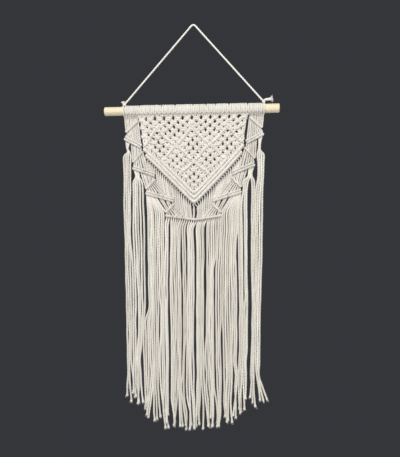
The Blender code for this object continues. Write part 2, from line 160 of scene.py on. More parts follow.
# Stepped side borders
SHORT_BARS = (
    # outer and inner end as x and drop
    ((124.9, 190.6), (102.6, 170.6)),
    ((112, 246), (94.2, 226)),
    ((87.4, 296.3), (70.4, 279.3)),
    ((50.8, 341), (36, 326)),
)
LongBar = namedtuple("LongBar", "outer inner ridges from_chevron fan_share chevron_share "
                                "let_go fringe_share cell_share added pairing")
LONG_BARS = (
    # outer and inner end, ridges, cords that join from the chevron, share of the bar that the fan fills and
    # where the chevron's cords start, cords let go, the share of the bar they hang from, where the next cell
    # starts, short cords added in it, how far its cords hang in pairs
    LongBar((127, 200.5), (96.6, 216.5), 2, 0, 1.00, 1.00, 4, 0.30, 0.37, 2, 0.3),
    LongBar((111.6, 255.5), (70.8, 270.5), 2, 6, 0.70, 0.46, 5, 0.28, 0.31, 2, 0.4),
    LongBar((87.2, 303), (35.6, 318.5), 2, 8, 0.82, 0.48, 10, 0.26, 0.27, 3, 1.2),
    LongBar((51, 347), (0.25, 354), 1, 10, 0.74, 0.32, 13, 1.00, 1.00, 0, 0),
)
SHORT_BAR_DIP = (0.0, -0.8, 2.6, -0.1)
SIDE_TOP = (129.0, 101.4)
SIDE_CORD = (1.6, 1.2, 1.85)
SIDE_CORDS = 8
RIDGE_WIDTH = 4.2
MEETING = 3.4
LAST_BAR = 51.0
LAST_BAR_TOP = 342.0
TIP_PARTINGS = {-1: (1.6, -0.8), 1: (4.1, 1.9, 0.8)}
WRAP = 3.1
CELL_FILL = 0.5
CELL_RADII = (1.05, 2.05)
EXIT_FRONT = -2.2
EXIT_RISE = 1.5
EXIT_RADIUS = 1.3
SLACK_FRONT = 0.3
SLACK_ASIDE = 0.2
FAN_SHARES = (0.22, 0.5, 0.8)
FAN_SLACK = (-0.6, 1.0)
CHEVRON_SLACK = (-3.4, 1.6)
CHEVRON_FILL = 1.03
FOOT_HANG = (-1.0, 3.0)
FOOT_PARTING = 0.9
BELLY_PARTING = 0.3

# Fringe, from left to right over both sides
STRANDS = 64
GROUPS = ("outer", "middle", "inner", "centre")
STRAIGHT_DROP = dict(zip(GROUPS, (236.5, 284.0, 341.0, 366.0)))
FRINGE_EDGES = np.array((
    # drop, x of the left edge, x of the right edge
    (229, -130.6, 129.6),
    (346, -129.6, 126.8),
    (556, -124.6, 122),
    (690, -122.8, 122.8),
))
GAPS = (
    # strands on its left, x and drop of its top, x and drop of its bottom, width
    (4, -114.2, 236, -114, 401, 2.6), (5, -104.6, 475, -103.4, 580, 2.4), (9, -88.9, 292, -84.7, 526, 5),
    (8, -96.5, 595, -92.6, 705, 4.8), (16, -62.3, 505, -62.3, 580, 1.8), (20, -49.3, 423, -48.2, 498, 2.4),
    (21, -44.1, 350, -44.5, 524, 3.3), (21, -44.5, 524, -41.9, 745, 3.8), (27, -21.9, 395, -19.2, 650, 2.6),
    (29, -12.2, 346, -12, 470, 2), (29, -14.2, 584, -13.8, 689, 2), (33, 3.1, 350, 4.2, 690, 3.3),
    (36, 15.1, 346, 16, 432, 2), (38, 20.7, 362, 21.8, 583, 3.8), (43, 39.4, 432, 40.5, 669, 2.2),
    (46, 51.8, 555, 52.2, 687, 2.7), (48, 64.3, 341, 64.3, 375, 1.8), (51, 75.2, 625, 72.5, 700, 2.6),
    (53, 80.7, 395, 82.1, 613, 2.9), (56, 92.6, 310, 92.6, 500, 2), (58, 102.5, 285, 101.3, 700, 6),
    (60, 113.4, 232, 114.6, 284, 5), (61, 111.2, 630, 111.2, 690, 2.4),
)
GAP_FADE = 22.0
GAP_SPREAD = 7.0
BUNCHES = {
    # group and side: distance of its inner and outer strand from the middle at the bar, where they bunch, and
    # how far they turn in before they spread
    ("outer", -1): ((118.3, 126.0), (121.8, 123.8), 2.6),
    ("outer", 1): ((118.3, 126.0), (119.8, 122.0), 1.0),
    ("middle", -1): ((101.3, 110.5), (101.0, 106.4), 0.0),
    ("middle", 1): ((101.3, 110.5), (101.0, 106.4), 0.0),
}
ENDS = np.array((
    # x, drop of the lowest ends there
    (-124.3, 680), (-122.2, 690), (-117.2, 698), (-107.8, 685), (-101.4, 695), (-94.8, 695),
    (-88.5, 706), (-78.4, 717), (-72.8, 725), (-65, 722), (-57.9, 742), (-52.1, 737),
    (-49.3, 726), (-40.8, 732), (-35.8, 735), (-27.3, 736), (-15.3, 740), (-10.3, 737),
    (-3.3, 736), (8.1, 736), (16.3, 735), (31.9, 731), (36.1, 731), (46.5, 735),
    (56.9, 725), (70.7, 724), (76.1, 719), (81.9, 717), (87.5, 712), (92.4, 700),
    (100.5, 684), (109.6, 693), (116.4, 690), (121.3, 686),
))
STRAYS = {
    # strand: x and drop of its last places
    62: ((121.0, 655.0), (124.5, 670.0), (128.0, 684.0)),
    63: ((124.0, 652.0), (129.0, 666.0), (134.6, 681.0)),
}
STRAY_LEAD = 8.0
LEVELS = np.arange(205.0, 760.0, 24.0)
END_LEVEL = 700.0
WAVES = 5
WAVE_HEIGHT = 0.32
WAVE_JITTER = 0.26
WAVE_ACROSS = (0.15, 0.9)
WAVE_DOWN = (0.015, 0.04)
WAVE_FADE = 120.0
WAVE_LEAST = 0.2
TOP_WAVES = 230.0
END_WAVES = 600.0
END_WAVE_SHARE = 1.7
STRAND_RADII = (0.93, 1.04)
STRAND_DEPTHS = (-1.3, 1.5)
STRAND_WAVE = 0.7
STRAND_TOP = 16.0
SHORT_TRIM = (0, 3)
LONG_TRIM = (3, 15)
SHORT_TRIM_SHARE = 0.5
SPLAY = 3.6
SPLAY_LENGTH = 75.0
END_STOPS = (5.0, 2.2, 0.0)
END_SWELLS = (1.0, 1.26, 1.5)
END_TONE = 0.9
END_TONE_LENGTH = 4.0
FRAY_TONE = 0.5
FRAY_FIBRES = 8
FRAY_REACH = 0.95
FRAY_LENGTHS = (1.5, 4.0)
FRAY_SPREAD = (0.2, 0.7)
FRAY_RADIUS = 0.3
BRUSH_RADIUS = 0.5
BRUSH_FULLNESS = 0.42
BRUSH_LENGTHS = (0.75, 1.05)
FIBRE_ROOT = 1.5
FIBRE_TIP = 0.25
FIBRE_TURN = np.radians((0.0, 120.0, 240.0))

# Cord section: three plies, each with a groove and two shoulders
PLIES = 3
PLY_TURNS = (0.0, 38.0, 82.0)
PLY_REACH = (0.80, 1.03, 1.03)
SECTION_TURN = np.radians([120.0 * ply + turn for ply in range(PLIES) for turn in PLY_TURNS])
SECTION_REACH = np.array(PLY_REACH * PLIES)
TWIST_LENGTH = 16.0
STEP = 1.6
KNOT_STEP = 1.35
CURVE_SAMPLES = 8

# Square knot in millimetres round its middle: x, front, height
FRONT_CORD = (
    (-3.6, 0.9, 2.8), (-2.2, 2.1, 2.0), (0.0, 2.5, 1.6), (2.2, 2.2, 1.5),
    (3.5, 1.2, 1.0), (3.9, -0.2, -0.1), (3.5, 1.2, -1.1), (2.2, 2.2, -1.5),
    (0.0, 2.5, -1.6), (-2.2, 2.1, -1.9), (-3.6, 1.0, -2.7),
)
BACK_CORD = (
    (4.1, 1.3, 2.0), (3.7, 0.9, 0.6), (2.6, -1.6, 0.9), (0.0, -2.6, 1.7), (-2.6, -1.8, 2.0),
    (-3.7, 0.3, 1.6), (-4.1, 1.3, 0.3), (-3.9, 1.4, -1.1), (-3.4, 0.2, -1.9), (-2.4, -1.8, -1.9),
    (0.0, -2.6, -2.1), (2.6, -2.0, -2.3), (3.8, -0.2, -2.6),
)
FILLER_CORD = (
    (-1.7, 0.6, 2.5), (-1.6, 0.8, 0.0), (-1.7, 0.6, -2.5),
)
KNOT_PITCH = (8.1, 7.6)
KNOT_SHIFT = 0.25
KNOT_SIZES = (0.97, 1.04)
KNOT_RADII = (0.97, 1.03)
TOP_KNOT_SINK = 1.0
TOP_CORD = (3.6, 1.6, 2.15)
CORNER_FRONT = 1.2
WORKING_RADIUS = 2.25
FILLER_RADIUS = 2.05
PAIR_RADIUS = 1.85
PAIR_OFFSET = 1.75
PAIR_FRONT = 0.9
BESIDE_BAR_RADIUS = 2.2
BESIDE_BAR_OFFSET = 2.45
CROSSING_SHARE = 0.25
HITCH_SAMPLES = 8
# Hitches over a side border's ridges and over the panel's wider ones: radius, reach across and to the front
HITCH = (1.5, 1.0, 3.3)
ROLL = (1.8, 1.65, 4.0)
STRAND_RADIUS = 1.85

# Painted highlight on the panel's and side borders' cords: their tone is lighter where they come forward over
# a bar
HIGHLIGHT_FROM_FRONT = 2.2
HIGHLIGHT_RAMP_DEPTH = 1.4
PAINTED_HIGHLIGHT_TONE = 0.9

# Materials and stage
COTTONS = {
    # shade, light and strength of the fibres' relief
    "knotted": ((0.685, 0.65, 0.578), (0.855, 0.828, 0.775), 0.45),
    "stepped": ((0.60, 0.57, 0.51), (0.83, 0.803, 0.755), 0.45),
    "hanging": ((0.635, 0.603, 0.53), (0.90, 0.872, 0.81), 0.5),
    "bright": ((0.80, 0.78, 0.74), (0.94, 0.92, 0.88), 0.4),
}
MATT = {"Roughness": 0.95, "Specular IOR Level": 0.15, "Sheen Weight": 0.25, "Sheen Roughness": 0.6}
PINE = ((0.80, 0.685, 0.445), (0.885, 0.805, 0.61))
PITH = (0.0, 0.011, 0.1585)
FLOOR_HALF = 1.5
FLOOR_HEIGHT = -1.6
BACKDROP = (0.036, 0.037, 0.043, 1.0)
WARM = (1.0, 0.985, 0.955)
WHITE = (1.0, 1.0, 1.0)
LIGHT_TARGET = (0.0, 0.0, -0.35)
LIGHTS = (
    # name, place, size, power, colour
    ("key", (-0.2, -1.35, 1.0), 0.8, 24.5, WARM),
    ("front", (0.15, -2.2, -0.4), 1.5, 28.5, WARM),
    ("back", (0.3, 1.9, 0.6), 1.5, 42.0, WHITE),
)
BOTH_SIDES = ((-1, "left"), (1, "right"))


class Yarn:
    """Gathers twisted cords and joins them into one mesh."""

    def __init__(self, painted_highlight=0.0):
        """The cords get a painted highlight: lighter where they come forward, by up to the painted highlight
        tone.
        """
        self.painted_highlight = painted_highlight
        self.places, self.tones, self.loops, self.starts, self.uvs = [], [], [], [], []
        self.count = 0
        self.loop_count = 0

    def add_faces(self, faces, uvs):
        size = faces.shape[1]
        self.starts.append(self.loop_count + size * np.arange(len(faces)))
        self.loops.append(faces.ravel() + self.count)
        self.uvs.append(uvs.reshape(-1, 2))
        self.loop_count += faces.size

    def tube(self, places, reach, angles, tones, lengths=None):
        """A closed tube with a corner at each angle round every place. Without lengths its UVs are zero."""
        normals, sides = frames_along(places)
        rings = places[:, None, :] + (reach * np.cos(angles))[..., None] * normals[:, None, :]
        rings += (reach * np.sin(angles))[..., None] * sides[:, None, :]
        count, corners = rings.shape[:2]
        row, column = np.divmod(np.arange((count - 1) * corners), corners)
        beside = (column + 1) % corners
        faces = np.stack((row * corners + column, row * corners + beside,
                          (row + 1) * corners + beside, (row + 1) * corners + column), axis=1)
        uvs = np.zeros((*faces.shape, 2))
        if lengths is not None:
            uvs[..., 0] = np.stack((column, column + 1, column + 1, column), axis=1)
            uvs[..., 1] = lengths[np.stack((row, row, row + 1, row + 1), axis=1)]
        self.add_faces(faces, uvs)
        caps = np.stack((np.arange(corners)[::-1], (count - 1) * corners + np.arange(corners)))
        self.add_faces(caps, np.zeros((2, corners, 2)))
        self.places.append(rings.reshape(-1, 3))
        self.tones.append(np.repeat(tones, corners))
        self.count += count * corners

    def cord(self, rows, step=STEP, tone=None, end_tone=0.0):
        """A cord of three plies through rows of x, front, drop and radius."""
        places, radii, lengths = read_curve(rows, step)
        turns = rng.uniform(0, 2 * math.pi) + 2 * math.pi * lengths / TWIST_LENGTH
        tone = rng.uniform(0, 1) if tone is None else tone
        tones = tone + np.clip(1 - (lengths[-1] - lengths) / END_TONE_LENGTH, 0, 1) * end_tone
        # painted highlight: the tone gets lighter where the cord comes forward over a bar
        tones += np.clip((places[:, 1] - HIGHLIGHT_FROM_FRONT) / HIGHLIGHT_RAMP_DEPTH, 0, 1) * self.painted_highlight
        self.tube(places, radii[:, None] * SECTION_REACH, SECTION_TURN + turns[:, None], tones, lengths)

    def fibre(self, rows, radius, tone):
        """A single thin fibre with three sides, which gets thinner towards its end."""
        rows = np.asarray(rows, float)
        taper = radius * np.linspace(1.0, FIBRE_TIP, len(rows))
        self.tube(rows, taper[:, None], FIBRE_TURN, np.full(len(rows), tone))

    def press(self, depth):
        """Presses cords on the dowel flat by a share of their depth."""
        for places in self.places:
            front, height = places[:, 1].copy(), DOWEL_DROP - places[:, 2]
            reach = np.hypot(front, height)
            near = np.clip((PRESS_NONE - reach) / (PRESS_NONE - PRESS_FULL), 0.0, 1.0)
            pressed = 1 + near * ((PRESS_CORE + (reach - PRESS_CORE) * depth) / reach - 1)
            places[:, 1] = front * pressed
            places[:, 2] = DOWEL_DROP - height * pressed

    def make(self, name, finish, slot, *nodes):
        """One object of all cords, which stands for the named solids."""
        places = np.concatenate(self.places) * (MM, -MM, -MM)
        loops = np.concatenate(self.loops)
        starts = np.concatenate(self.starts)
        mesh = bpy.data.meshes.new(name)
        mesh.vertices.add(len(places))
        mesh.vertices.foreach_set("co", places.ravel())
        mesh.loops.add(len(loops))
        mesh.loops.foreach_set("vertex_index", loops)
        mesh.polygons.add(len(starts))
        mesh.polygons.foreach_set("loop_start", starts)
        mesh.update(calc_edges=True)
        layer = mesh.uv_layers.new(name="cord")
        layer.uv.foreach_set("vector", np.concatenate(self.uvs).ravel())
        # the tone attribute also holds the painted highlight of the panel's and borders' cords
        tone = mesh.attributes.new("tone", "FLOAT", "POINT")
        tone.data.foreach_set("value", np.concatenate(self.tones))
        mesh.shade_smooth()
        mesh.materials.append(finish)
        obj = link(bpy.data.objects.new(name, mesh))
        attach(obj, "root")
        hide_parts(*nodes)
        return obj


def link(obj):
    bpy.context.scene.collection.objects.link(obj)
    return obj


def read_table(table, at, column=1):
    """A column of a table at a value of its first column, between its rows."""
    return np.interp(at, table[:, 0], table[:, column])


def read_curve(rows, step):
    """Places, radii and lengths at equal steps along a smooth curve through the rows."""
    rows = np.asarray(rows, float)
    gaps = np.sqrt(np.maximum(np.linalg.norm(np.diff(rows[:, :3], axis=0), axis=1), 0.01))
    slopes = np.diff(rows, axis=0) / gaps[:, None]
    tangents = np.empty_like(rows)
    tangents[0], tangents[-1] = slopes[0], slopes[-1]
    before, after = gaps[:-1, None], gaps[1:, None]
    tangents[1:-1] = (slopes[:-1] * after + slopes[1:] * before) / (before + after)
    u = np.linspace(0, 1, CURVE_SAMPLES, endpoint=False)[None, :, None]
    start, end = rows[:-1, None, :], rows[1:, None, :]
    pull_start = tangents[:-1, None, :] * gaps[:, None, None]
    pull_end = tangents[1:, None, :] * gaps[:, None, None]
    dense = (2 * u**3 - 3 * u**2 + 1) * start + (u**3 - 2 * u**2 + u) * pull_start
    dense += (3 * u**2 - 2 * u**3) * end + (u**3 - u**2) * pull_end
    dense = np.concatenate((dense.reshape(-1, 4), rows[-1:]))
    lengths = np.concatenate(([0.0], np.cumsum(np.linalg.norm(np.diff(dense[:, :3], axis=0), axis=1))))
    count = max(int(round(lengths[-1] / step)), 1) + 1
    at = np.linspace(0, lengths[-1], count)
    read = np.stack([np.interp(at, lengths, dense[:, k]) for k in range(4)], axis=1)
    return read[:, :3], read[:, 3], at


def frames_along(places):
    """Two directions square to the curve at each place, carried along without turning."""
    ahead = np.gradient(places, axis=0)
    ahead /= np.linalg.norm(ahead, axis=1)[:, None]
    first = np.cross(ahead[0], (0.0, 1.0, 0.0) if abs(ahead[0][1]) < 0.9 else (1.0, 0.0, 0.0))
    normals = np.empty_like(places)
    carried = first / np.linalg.norm(first)
    for i, direction in enumerate(ahead):
        carried = carried - carried.dot(direction) * direction
        carried = carried / math.sqrt(carried.dot(carried))
        normals[i] = carried
    return normals, np.cross(ahead, normals)


# Lattice of the chevron

def row_drop(row):
    return read_table(LATTICE_ROWS, row, ROW_DROP)


def row_bulge(row, across):
    """How much lower a row lies in the middle of a diamond than under the corners between diamonds."""
    middle = (1 + math.cos(math.pi * across / DIAMOND)) / 2
    outwards = (abs(across) - DIAMOND) * read_table(LATTICE_ROWS, row, ROW_OUTWARDS)
    return middle * read_table(LATTICE_ROWS, row, ROW_BULGE) + outwards


def half_pitch(row):
    return read_table(LATTICE_ROWS, row, ROW_PITCH)


def lattice_place(m, n):
    """Place of the lattice point that is m steps down to the right and n steps down to the left."""
    row, across = m + n, m - n
    x = across * half_pitch(row)
    last = HALF_WIDTH - 1
    if row < DIAMOND and abs(across) > last:
        edge = np.interp(row, (TOP_ROW, DIAMOND), EDGES[1 if across > 0 else -1])
        reach = last * half_pitch(row)
        x = math.copysign(reach + (abs(across) - last) * (edge - reach), across)
    drop = row_drop(row) + row_bulge(row, across)
    if max(m, n) >= CHEVRON_END:
        drop = border_drop(abs(x), 0 if abs(across) <= CHEVRON_END else 1)
    return leaned(x, drop)


def border_drop(x, ridge):
    """Drop of a border ridge at a distance from the middle, on a level piece."""
    return BORDER_TIP + ridge * BORDER_STEP - BORDER_SLOPE * math.hypot(x, BORDER_ROUND)


def leaned(x, drop):
    """Where a place of the level piece lies on the piece in the photo, which leans a little."""
    fade = min(1.0, max(LEAN_REACH - abs(x), 0.0) / LEAN_FADE)
    shift = read_table(LEAN, drop) * fade
    return np.array((x + shift, 0.0, drop - rise(x, drop)))


def rise(x, drop):
    """How much higher a place lies than on a level piece, because the panel leans."""
    return x * read_table(LEAN, drop, 2)


def square_to(along):
    """The direction in the cloth's plane that is square to another one and points down."""
    across = np.array((-along[2], 0.0, along[0]))
    return -across if across[2] < 0 else across


def bar_directions(m, n):
    """Whether a bar runs down to the left through a lattice point, and whether one runs down to the right."""
    if m + n < 0:
        return False, False
    down_left = m % DIAMOND == 0 and n >= -m and m > -CHEVRON_END
    down_right = n % DIAMOND == 0 and m >= -n and n > -CHEVRON_END
    return down_left, down_right


def pair_place(m, n, to_right, upper):
    """Where one cord of the pair that leaves a lattice point is halfway to the next one."""
    start, end = lattice_place(m, n), next_place(m, n, to_right)
    up = -square_to((end - start) / np.linalg.norm(end - start))
    bars_here, bars_there = bar_directions(m, n), bar_directions(*next_point(m, n, to_right))
    beside_bar = any(bars_here) != any(bars_there)
    offset = BESIDE_BAR_OFFSET if beside_bar else PAIR_OFFSET
    middle = (start + end) / 2 + up * (offset if upper else -offset)
    middle[1] = PAIR_FRONT
    return np.append(middle, BESIDE_BAR_RADIUS if beside_bar else PAIR_RADIUS)


def next_point(m, n, to_right):
    return (m + 1, n) if to_right else (m, n + 1)


def next_place(m, n, to_right):
    return lattice_place(*next_point(m, n, to_right))


def hitch(centre, along, pitch, wraps, shape=HITCH):
    """Rows of a cord that comes from above, turns round a bar's core and leaves below it."""
    radius, reach, front = shape
    along = along / np.linalg.norm(along)
    across = square_to(along)
    full = (wraps - 0.5) * 2 * math.pi
    rows = []
    for turn in np.linspace(0, full, HITCH_SAMPLES * wraps - HITCH_SAMPLES // 2 + 1):
        shift = pitch * (turn - full / 2) / (2 * math.pi)
        place = centre + along * shift - across * reach * math.cos(turn)
        place = place + np.array((0.0, front * math.sin(turn), 0.0))
        rows.append(np.append(place, radius))
    return rows


def knot_rows(centre, size, table, mirror, radius):
    """Rows of one cord of a square knot, from its table."""
    rows = []
    for x, front, height in table:
        place = (centre[0] + mirror * x * size[0], centre[1] + front, centre[2] - height * size[1])
        rows.append(np.array((*place, radius)))
    return rows


def bar_crossing(m, n, to_right):
    """Rows of the pair that crosses a bar, by upper and lower cord. The bar runs down to the left where the
    pair goes down to the right, and the other way round."""
    here = lattice_place(m, n)
    along = next_place(m, n, not to_right) - here
    pitch = CROSSING_SHARE * np.linalg.norm(along)
    found = {}
    for upper in (True, False):
        shift = -CROSSING_SHARE if upper else CROSSING_SHARE
        found[upper] = hitch(here + along * shift, along, pitch, 2, ROLL)
    return found


def under_dowel(x, front, under, radius):
    return np.array((x, front, DOWEL_BOTTOM + under, radius))


def arriving(m, n, from_left, upper):
    """The edge by which a cord comes down to a lattice point, and its place halfway along it."""
    start = (m - 1, n) if from_left else (m, n - 1)
    edge = (*start, from_left, upper)
    if sum(start) >= TOP_ROW:
        return edge, pair_place(*edge)
    quarters = (-1 if from_left else 1) * (0.5 if upper else 1.5)
    x = lattice_place(m, n)[0] + quarters * half_pitch(TOP_ROW) / 2
    return edge, under_dowel(x, *TOP_CORD)


def lattice_pieces():
    """Rows of cord at every lattice point and the edge that they go on to, by the edge that they come from.
    An edge is a lattice point, whether it leaves to the right and whether it is the upper one of its pair."""
    pieces = {}
    for m, n in itertools.product(range(-HALF_WIDTH, CHEVRON_END), repeat=2):
        across = m - n
        if m + n < TOP_ROW or abs(across) > HALF_WIDTH:
            continue
        down_left, down_right = bar_directions(m, n)
        if down_left or down_right:
            both = down_left and down_right
            for to_right in (True, False):
                crossing = not both and (down_left if to_right else down_right)
                hitches = bar_crossing(m, n, to_right) if crossing else None
                for upper in (True, False):
                    edge, start = arriving(m, n, to_right, upper)
                    rows = [start]
                    if crossing:
                        rows += hitches[upper]
                    elif both:
                        middle = (start[:3] + pair_place(m, n, to_right, upper)[:3]) / 2
                        middle[1] += CORNER_FRONT if to_right else -CORNER_FRONT
                        rows.append(np.append(middle, WORKING_RADIUS))
                    pieces[edge] = rows, (m, n, to_right, upper)
        elif abs(across) < HALF_WIDTH:
            add_knot(pieces, m, n)
        else:
            from_left = across > 0
            for upper in (True, False):
                edge, start = arriving(m, n, from_left, upper)
                pieces[edge] = [start], (m, n, not from_left, not upper)
    return pieces


def add_knot(pieces, m, n):
    """The four cords of a square knot, with a little of a handmade knot's unevenness."""
    row = m + n
    centre = lattice_place(m, n) + rng.uniform(-KNOT_SHIFT, KNOT_SHIFT, 3)
    size = np.array((half_pitch(row), (row_drop(row + 1) - row_drop(row - 1)) / 2)) / KNOT_PITCH
    if row == TOP_ROW:
        centre[2] += TOP_KNOT_SINK
        size[1] = 1.0
    size *= rng.uniform(*KNOT_SIZES)
    for from_left, upper, table, mirror, radius in (
        (True, False, FRONT_CORD, 1, WORKING_RADIUS),
        (True, True, FILLER_CORD, 1, FILLER_RADIUS),
        (False, True, FILLER_CORD, -1, FILLER_RADIUS),
        (False, False, BACK_CORD, 1, WORKING_RADIUS),
    ):
        edge, start = arriving(m, n, from_left, upper)
        rows = [start] + knot_rows(centre, size, table, mirror, radius * rng.uniform(*KNOT_RADII))
        pieces[edge] = rows, (m, n, not from_left, not upper)


def border_x(cord):
    """Distance from the middle of one of a side's border cords, counted from the outer end."""
    return (1 - (cord + 0.5) / BORDER_CORDS) * BORDER_REACH


def border_place(cord, ridge, side):
    """Where a border cord crosses a border ridge."""
    x = border_x(cord)
    return leaned(side * x, border_drop(x, ridge))


def border_foot(cord, side):
    """Where a border cord comes out under its last ridge: square to it, and straight down at the tip."""
    x = border_x(cord)
    ridge = [step for first, step in BORDER_RIDGES if cord >= first][-1]
    length = math.hypot(1.0, BORDER_SLOPE)
    x += BORDER_FOOT * BORDER_SLOPE / length * min(x / BORDER_FOOT_TURN, 1.0)
    x, _, drop = leaned(side * x, border_drop(x, ridge) + BORDER_FOOT * length)
    return np.array((x, FOOT_FRONT, drop, FOOT_RADIUS))


def border_crossing(cord, side):
    """Rows of a cord that crosses the chevron's border ridges on its way down."""
    rows = []
    for first, ridge in BORDER_RIDGES:
        if cord >= first:
            place = border_place(cord, ridge, side)
            along = border_place(cord + 1, ridge, side) - place
            rows += hitch(place, along, np.linalg.norm(along) / 2, 2, ROLL)
    rows.append(border_foot(cord, side))
    return rows


def make_chevron(finish):
    """Cords of the panel, each in the yarn of the side on which it leaves the panel."""
    pieces = lattice_pieces()
    # the panel's cords get a painted highlight where they come forward over a bar
    yarns = {side: Yarn(PAINTED_HIGHLIGHT_TONE) for side, label in BOTH_SIDES}
    for edge in sorted(set(pieces) - {following for rows, following in pieces.values()}):
        route = []
        while edge in pieces:
            rows, edge = pieces[edge]
            route += rows
        m, n, to_right, upper = edge
        side = 1 if to_right else -1
        cord = 2 * ((n if to_right else m) - BORDER_TOP) + (0 if upper else 1)
        route += [pair_place(*edge)] + border_crossing(cord, side)
        yarns[side].cord(route, KNOT_STEP, rng.uniform(*CHEVRON_TONES))
    for side, label in BOTH_SIDES:
        yarns[side].make(f"chevron_cords_{label}", finish, "cotton", "chevron")


# Heading

def head_legs():
    """The middle of every lark's head, and how far its legs lie from it, from left to right."""
    legs = []
    for first, last, count in HEAD_GROUPS:
        pitch = (last - first) / count
        legs += [(first + (i + 0.5) * pitch, pitch / 4) for i in range(count)]
    return legs


def on_dowel(x, degrees, reach):
    """A place at an angle round the dowel's axis: 0 is its front and 90 its top."""
    turn = math.radians(degrees)
    return x, reach * math.cos(turn), DOWEL_DROP - reach * math.sin(turn)


def make_heading(finish):
    """Lark's heads: both legs go round the dowel and out under the loop at its front."""
    yarn = Yarn()
    for middle, leg in head_legs():
        middle += rng.uniform(-HEAD_SHIFT, HEAD_SHIFT)
        aside = 0.0
        for notch in NOTCHES:
            away = middle - notch
            aside += NOTCH * math.copysign(math.exp(-abs(away) / NOTCH_SPREAD), away)
        radius = HEAD_FILL * leg * rng.uniform(*HEAD_RADII)
        reach = DOWEL_RADIUS + ON_DOWEL + radius * HEAD_REST
        loose = rng.uniform(*HEAD_SLACK)
        half = [
            # place along the dowel from the head's middle, angle round it, reach
            (-leg, -50, reach + 0.1), (-leg, -85, reach), (-leg, -130, reach), (-leg, -180, reach),
            (-leg, -225, reach), (-leg, -270, reach + 0.1 + max(loose, 0)),
            (-leg * 1.02, -315, reach + 0.1), (-leg * 1.05, -355, reach + 0.3),
            (-leg * 1.05, -385, reach + 1.0), (-leg * 0.8, -402, reach + 2.0),
            (0.0, -407 - 4 * loose, reach + 2.4),
        ]
        route = [(middle - leg, front, DOWEL_BOTTOM + under) for front, under in LEG_END]
        for shift, degrees, reached in half + [(-shift, *rest) for shift, *rest in half[-2::-1]]:
            top = max(0.0, math.sin(math.radians(degrees))) ** 2
            route.append(on_dowel(middle + shift + aside * top, degrees, reached))
        route += [(middle + leg, front, DOWEL_BOTTOM + under) for front, under in reversed(LEG_END)]
        yarn.cord([(*place, radius) for place in route], KNOT_STEP, rng.uniform(*HEAD_TONES))
    yarn.press(HEADING_PRESS)
    yarn.make("heading_cords", finish, "cotton", "heading")


# Side borders and fringe

def between(a, b, share):
    return a[0] + (b[0] - a[0]) * share, a[1] + (b[1] - a[1]) * share


def even_shares(count):
    return [(i + 0.5) / count for i in range(count)]


def bar_place(side, x, drop):
    """A place on a bar of either side; both last bars meet a little to the right of the middle."""
    sway = MEETING * max(1 - x / LAST_BAR, 0.0) if drop > LAST_BAR_TOP else 0.0
    x = side * x + sway
    return np.array((x, 0.0, drop - rise(x, drop)))


def below_bar(bar, side, share):
    """The x and drop of a place on the lower edge of a long bar."""
    x, _, drop = bar_place(side, *between(bar.outer, bar.inner, share))
    return x, drop + RIDGE_WIDTH * bar.ridges / 2


def bar_hitches(outer, inner, shares, ridges, side):
    """Rows of each cord over all ridges of a bar, with as many wraps as fill its share of the bar."""
    length = math.dist(outer, inner)
    ends = [bar_place(side, *outer), bar_place(side, *inner)]
    along = (ends[1] - ends[0]) / length
    across = square_to(along)
    found = []
    spaces = np.gradient(np.array(shares)) * length
    for share, space in zip(shares, spaces):
        wraps = max(math.ceil(space / WRAP), 1)
        rows = []
        for ridge in range(ridges):
            offset = RIDGE_WIDTH * (ridge - (ridges - 1) / 2)
            centre = ends[0] + (ends[1] - ends[0]) * share + across * offset
            rows += hitch(centre, along, space / wraps, wraps)
        found.append(rows)
    return found


def loose_rows(start, end, radii, shares, belly, bend, aside=0.0):
    """Rows of a slack cord between two bars, a little thicker than in its hitches."""
    rows = []
    for share in shares:
        place = start[:3] + (end[:3] - start[:3]) * (share ** bend, share, share)
        place[1] = belly + rng.uniform(-SLACK_FRONT, SLACK_FRONT)
        place[0] += rng.uniform(-SLACK_ASIDE, SLACK_ASIDE) + aside * math.sin(math.pi * share)
        rows.append(np.append(place, radii[0] + (radii[1] - radii[0]) * share))
    return rows


def strand_fill(starts, ends):
    """Radii at both ends of each cord between two bars, so that the cords nearly fill the space."""
    radii = []
    for places in (starts, ends):
        spaces = np.abs(np.gradient([place[0] for place in places]))
        radii.append(np.clip(CELL_FILL * spaces, *CELL_RADII))
    return np.stack(radii, axis=1)


